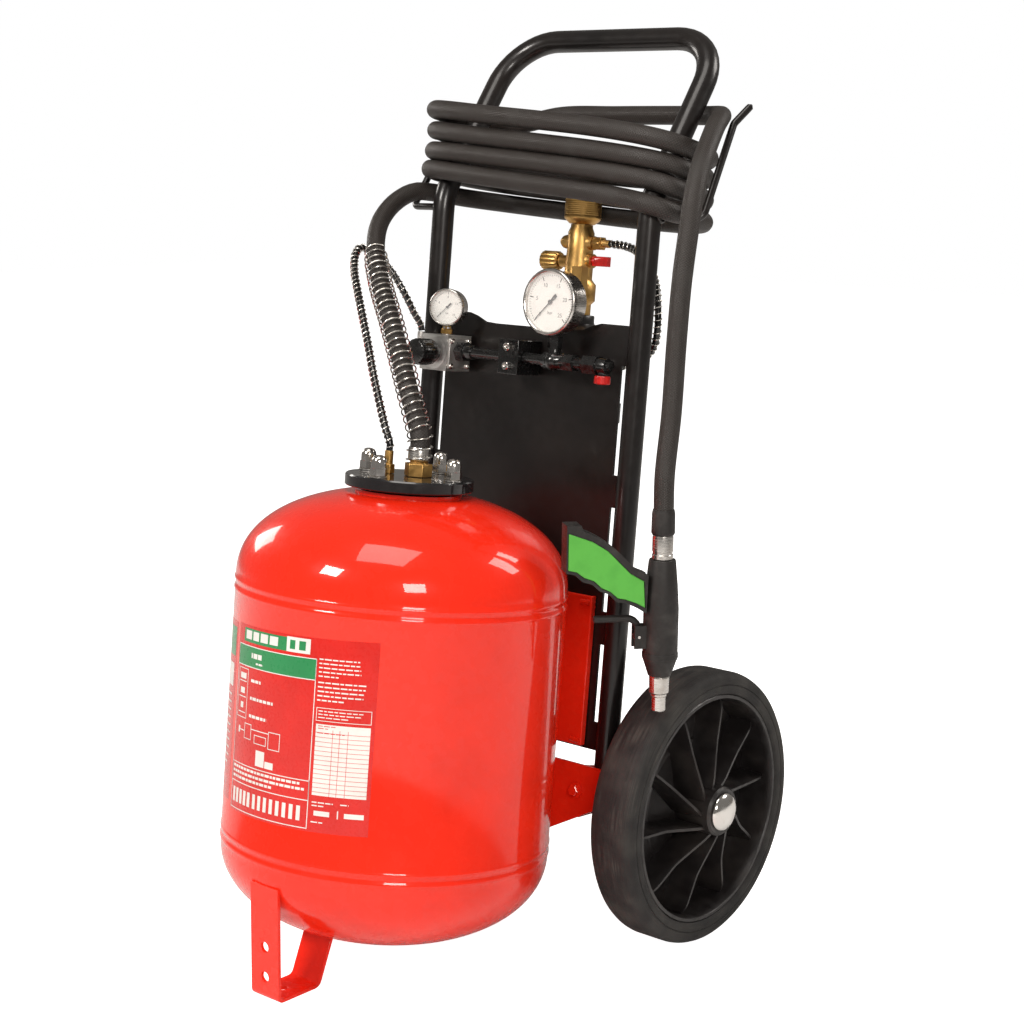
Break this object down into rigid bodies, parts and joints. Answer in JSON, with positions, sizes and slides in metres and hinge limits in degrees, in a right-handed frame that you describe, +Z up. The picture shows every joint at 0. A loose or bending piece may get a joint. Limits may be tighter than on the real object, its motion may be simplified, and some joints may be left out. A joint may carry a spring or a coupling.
{
  "type": "wheeled fire extinguisher",
  "caption": "Pressure tank on a tilted two-wheel trolley, with a gas cylinder, a pressure manifold with gauges, and a coiled hose that ends in a trigger gun.",
  "frame": {"origin": "on the floor under the middle of the whole trolley, as it stands on its two wheels and its front foot", "axes": "+Z up, +Y backwards (from the tank to the handle), +X towards the side that the gun hangs on"},
  "size_m": [0.539, 0.58, 0.9848],
  "materials": {
    "frame_paint": "semi-gloss black powder coat",
    "red_paint": "gloss signal red paint",
    "lid_black": "semi-gloss black",
    "steel": "turned and polished",
    "chrome": "polished",
    "cast_aluminium": "satin die-cast",
    "brass": "machined",
    "tyre_rubber": "scuffed grey black",
    "hose_rubber": "fine fabric-marked",
    "rim_plastic": "moulded satin",
    "fitting_black": "gloss black",
    "red_plastic": "gloss",
    "gun_black": "fine-grained",
    "gun_green": "soft satin",
    "needle_black": "matt",
    "gauge_glass": "clear"
  },
  "bodies": {
    "trolley": {"frame_tube": "frame_paint", "back_plate": "frame_paint", "hose_hook_left": "frame_paint", "hose_hook_right": "frame_paint", "cylinder_strap_lower": "frame_paint", "cylinder_strap_upper": "frame_paint", "gas_cylinder": "frame_paint", "mounting_bracket": "red_paint", "axle_bracket_left": "red_paint", "axle_bracket_right": "red_paint", "tank_shell": "red_paint", "front_foot": "red_paint", "tank_lid": "lid_black", "axle": "steel", "hose_ferrule_tank": "steel", "gun_ferrule": "steel", "gun_nozzle": "steel", "trigger_pin": "steel", "large_gauge_case": "steel", "small_gauge_case": "steel", "lid_nut_1": "chrome", "lid_nut_2": "chrome", "lid_nut_3": "chrome", "lid_nut_4": "chrome", "regulator_block": "cast_aluminium", "hose_outlet_nut": "brass", "dip_tube": "brass", "gas_inlet_fitting": "brass", "cylinder_valve": "brass", "valve_charging_nut": "brass", "valve_outlet_fitting": "brass", "hose_riser": "hose_rubber", "hose_coil": "hose_rubber", "hose_drop": "hose_rubber", "gas_hose_tank": "hose_rubber", "gas_hose_cylinder": "hose_rubber", "lid_gasket": "hose_rubber", "manifold_pipe": "fitting_black", "manifold_clamp": "fitting_black", "manifold_tee": "fitting_black", "gun_body": "gun_black", "gun_grip": "gun_black", "grip_inlay": "gun_green", "large_gauge_lens": "gauge_glass", "small_gauge_lens": "gauge_glass"},
    "wheel_left": {"tyre_left": "tyre_rubber", "rim_left": "rim_plastic", "wheel_bush_left": "steel", "hub_cap_left": "chrome"},
    "wheel_right": {"tyre_right": "tyre_rubber", "rim_right": "rim_plastic", "wheel_bush_right": "steel", "hub_cap_right": "chrome"},
    "trigger": {"gun_trigger": "gun_black"},
    "cap": {"valve_cap": "brass"},
    "key": {"valve_key": "red_plastic"},
    "reg_knob": {"regulator_knob": "fitting_black"},
    "bleed": {"bleed_knob": "red_plastic"},
    "needle_large": {"large_gauge_needle": "needle_black"},
    "needle_small": {"small_gauge_needle": "needle_black"}
  },
  "joints": [
    {"name": "wheel_left_spin", "type": "hinge", "parent": "trolley", "child": "wheel_left", "pos_m": [0, 0.14, 0.15], "axis": [1, 0, 0], "continuous": true},
    {"name": "wheel_right_spin", "type": "hinge", "parent": "trolley", "child": "wheel_right", "pos_m": [0, 0.14, 0.15], "axis": [1, 0, 0], "continuous": true},
    {"name": "trigger_pull", "type": "hinge", "parent": "trolley", "child": "trigger", "pos_m": [0.22813, 0.02067, 0.362], "axis": [-0.7848, 0.6198, 0], "range_deg": [0, 12], "stiffness_Nm_per_rad": 1, "springref_deg": -5.73},
    {"name": "valve_cap_turn", "type": "hinge", "parent": "trolley", "child": "cap", "pos_m": [0, 0.20565, 0.78665], "axis": [0, 0.0932, 0.9956], "range_deg": [0, 360]},
    {"name": "valve_key_turn", "type": "hinge", "parent": "trolley", "child": "key", "pos_m": [0.025, 0.20008, 0.72721], "axis": [1, 0, 0], "range_deg": [0, 90]},
    {"name": "regulator_knob_turn", "type": "hinge", "parent": "trolley", "child": "reg_knob", "pos_m": [-0.102, 0.05402, 0.62609], "axis": [0, -0.9956, 0.0932], "range_deg": [-360, 360]},
    {"name": "bleed_knob_turn", "type": "hinge", "parent": "trolley", "child": "bleed", "pos_m": [0.124, 0.08675, 0.61097], "axis": [0, 0.0932, 0.9956], "range_deg": [0, 360]},
    {"name": "large_gauge_needle_sweep", "type": "hinge", "parent": "trolley", "child": "needle_large", "pos_m": [0.054, 0.09203, 0.68882], "axis": [0, 0.9956, -0.0932], "range_deg": [0, 270]},
    {"name": "small_gauge_needle_sweep", "type": "hinge", "parent": "trolley", "child": "needle_small", "pos_m": [-0.1, 0.09163, 0.67379], "axis": [-0.342, 0.9356, -0.0876], "range_deg": [0, 270]}
  ]
}
